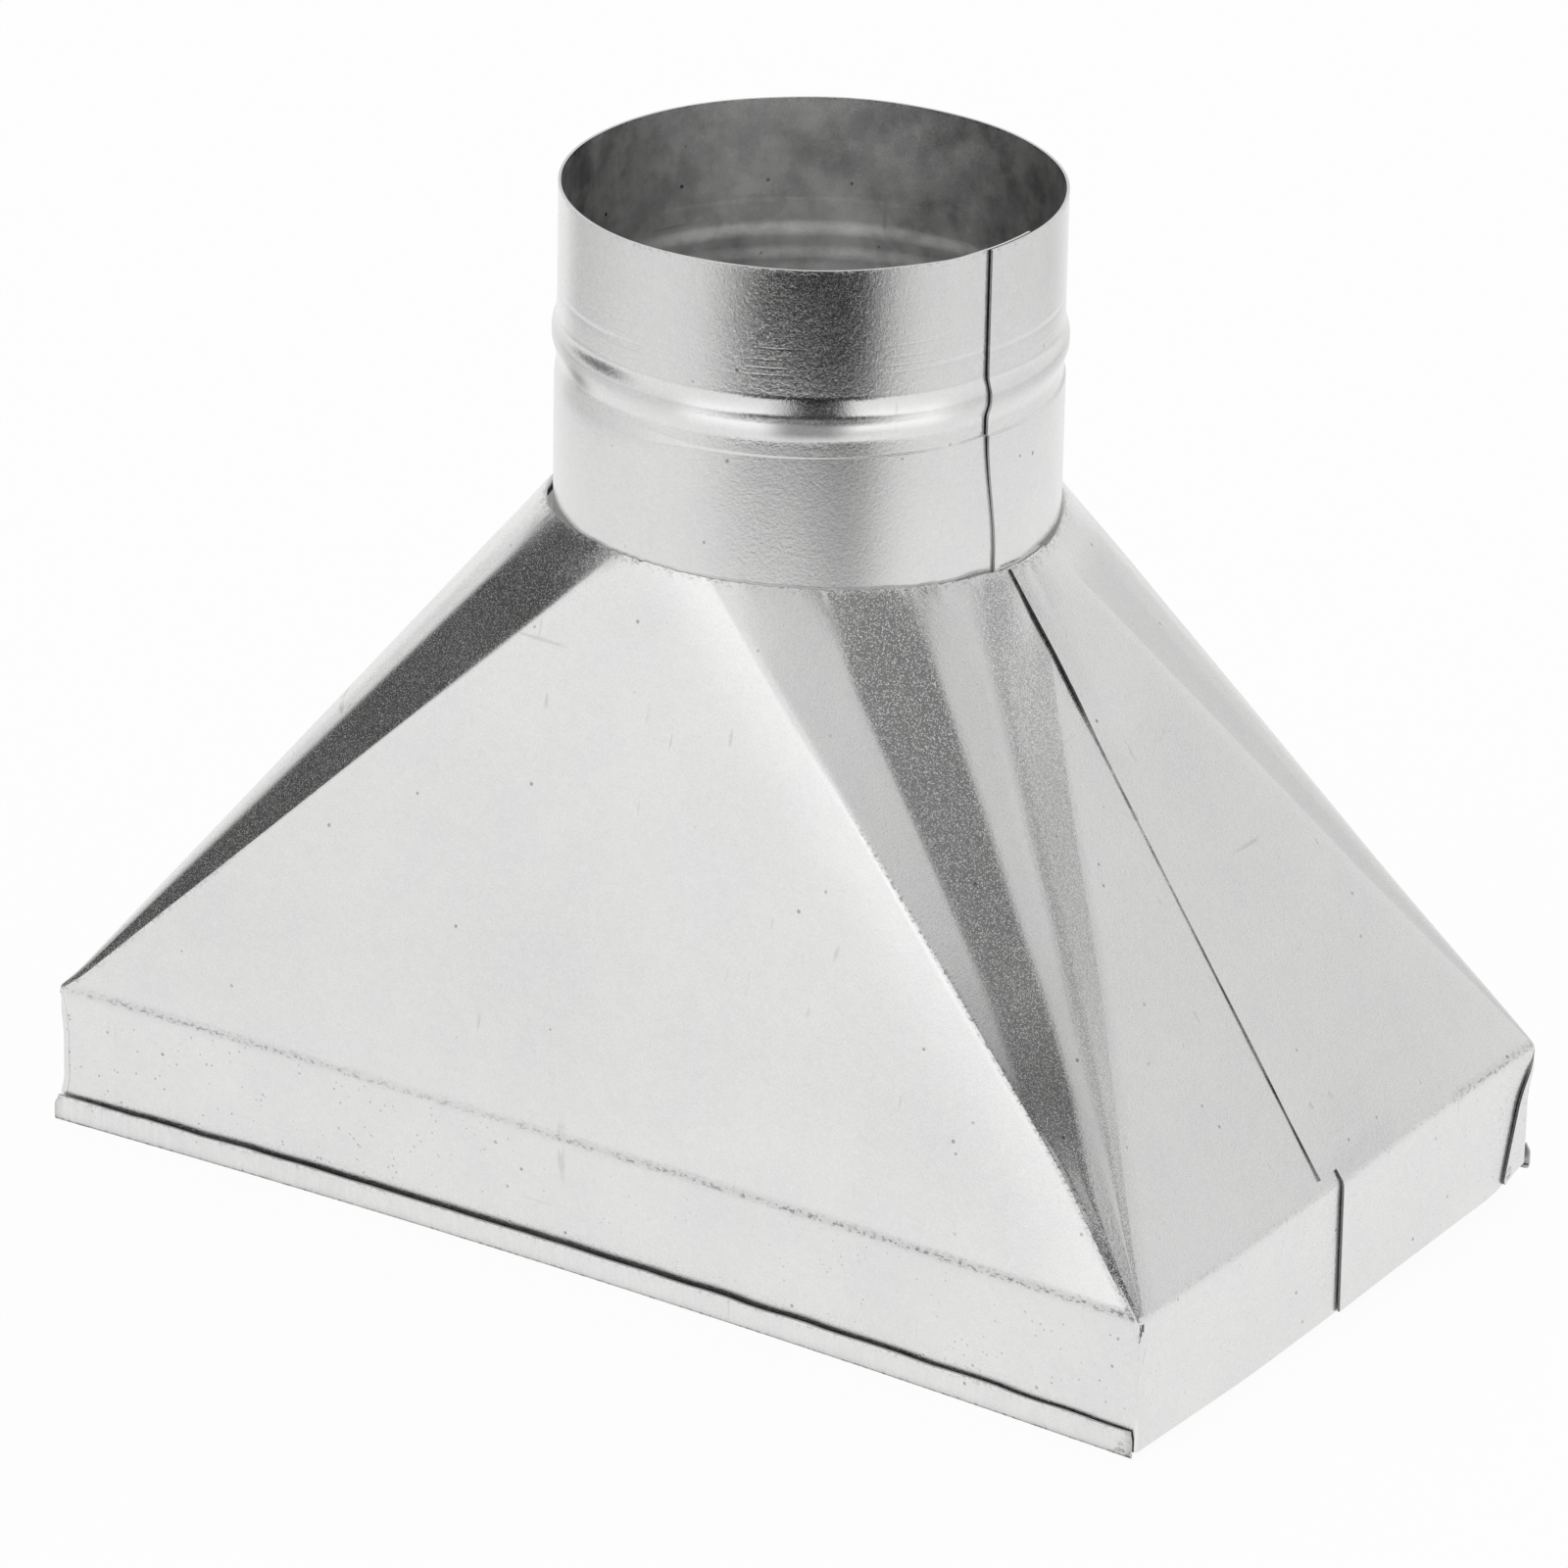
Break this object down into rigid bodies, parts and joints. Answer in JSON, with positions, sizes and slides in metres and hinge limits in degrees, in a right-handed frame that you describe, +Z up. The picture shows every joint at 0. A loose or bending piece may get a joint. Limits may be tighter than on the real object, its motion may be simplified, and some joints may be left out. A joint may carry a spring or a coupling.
{
  "type": "register boot",
  "caption": "Sheet-metal register boot: a creased body narrows from a rectangular outlet band to a round beaded spigot for a duct.",
  "frame": {"origin": "centre of the rectangular outlet, on the plane that its two hems stand on", "axes": "+Z up along the round spigot's axis, +X along the outlet's long side, -Y towards the front half"},
  "size_m": [0.258, 0.1528, 0.2074],
  "materials": {
    "body_sheet": "mill-finish galvanised steel sheet, fine spangle, scuffed along its folds",
    "collar_sheet": "mill-finish galvanised steel sheet, rolled round, with fine roll lines"
  },
  "bodies": {
    "root": {"front_half": "body_sheet", "back_half": "body_sheet", "collar": "collar_sheet"}
  },
  "joints": []
}
